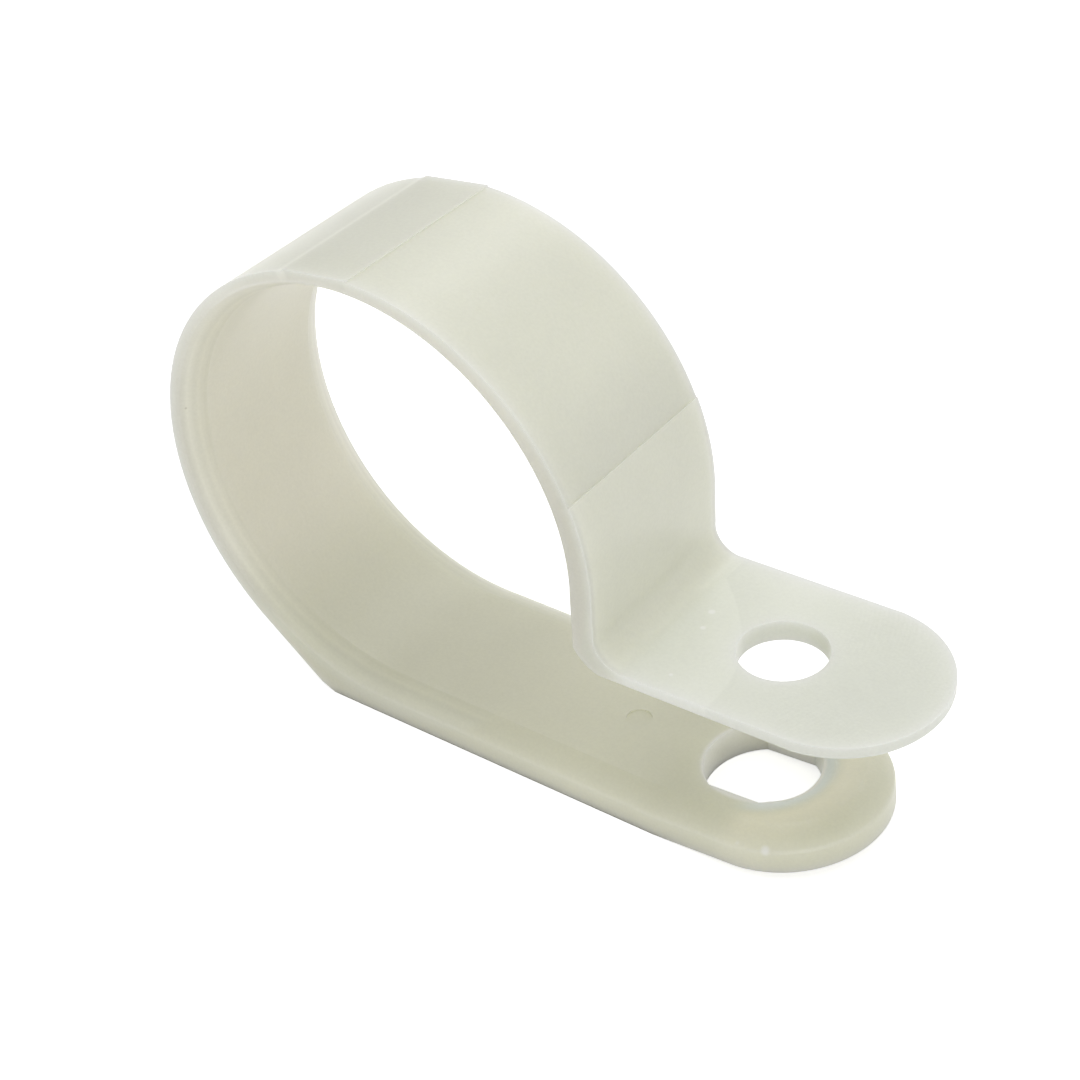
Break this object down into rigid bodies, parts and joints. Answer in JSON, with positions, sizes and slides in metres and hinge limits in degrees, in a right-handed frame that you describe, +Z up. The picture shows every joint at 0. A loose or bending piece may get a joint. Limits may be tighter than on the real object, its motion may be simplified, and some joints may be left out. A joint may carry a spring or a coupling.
{
  "type": "P clip",
  "caption": "One-piece moulded P clip: a strap looped round a cable bundle, closed by one screw through its thin tab and slotted leg.",
  "frame": {"origin": "on the flat mounting face under the centre of the loop's outside, at mid width", "axes": "+Z up from the mounting face, +X from the loop towards the screw, Y across the strap along the bore"},
  "size_m": [0.0492, 0.0126, 0.0311],
  "materials": {
    "nylon": "natural translucent nylon, satin"
  },
  "bodies": {
    "root": {"clip": "nylon"}
  },
  "joints": []
}
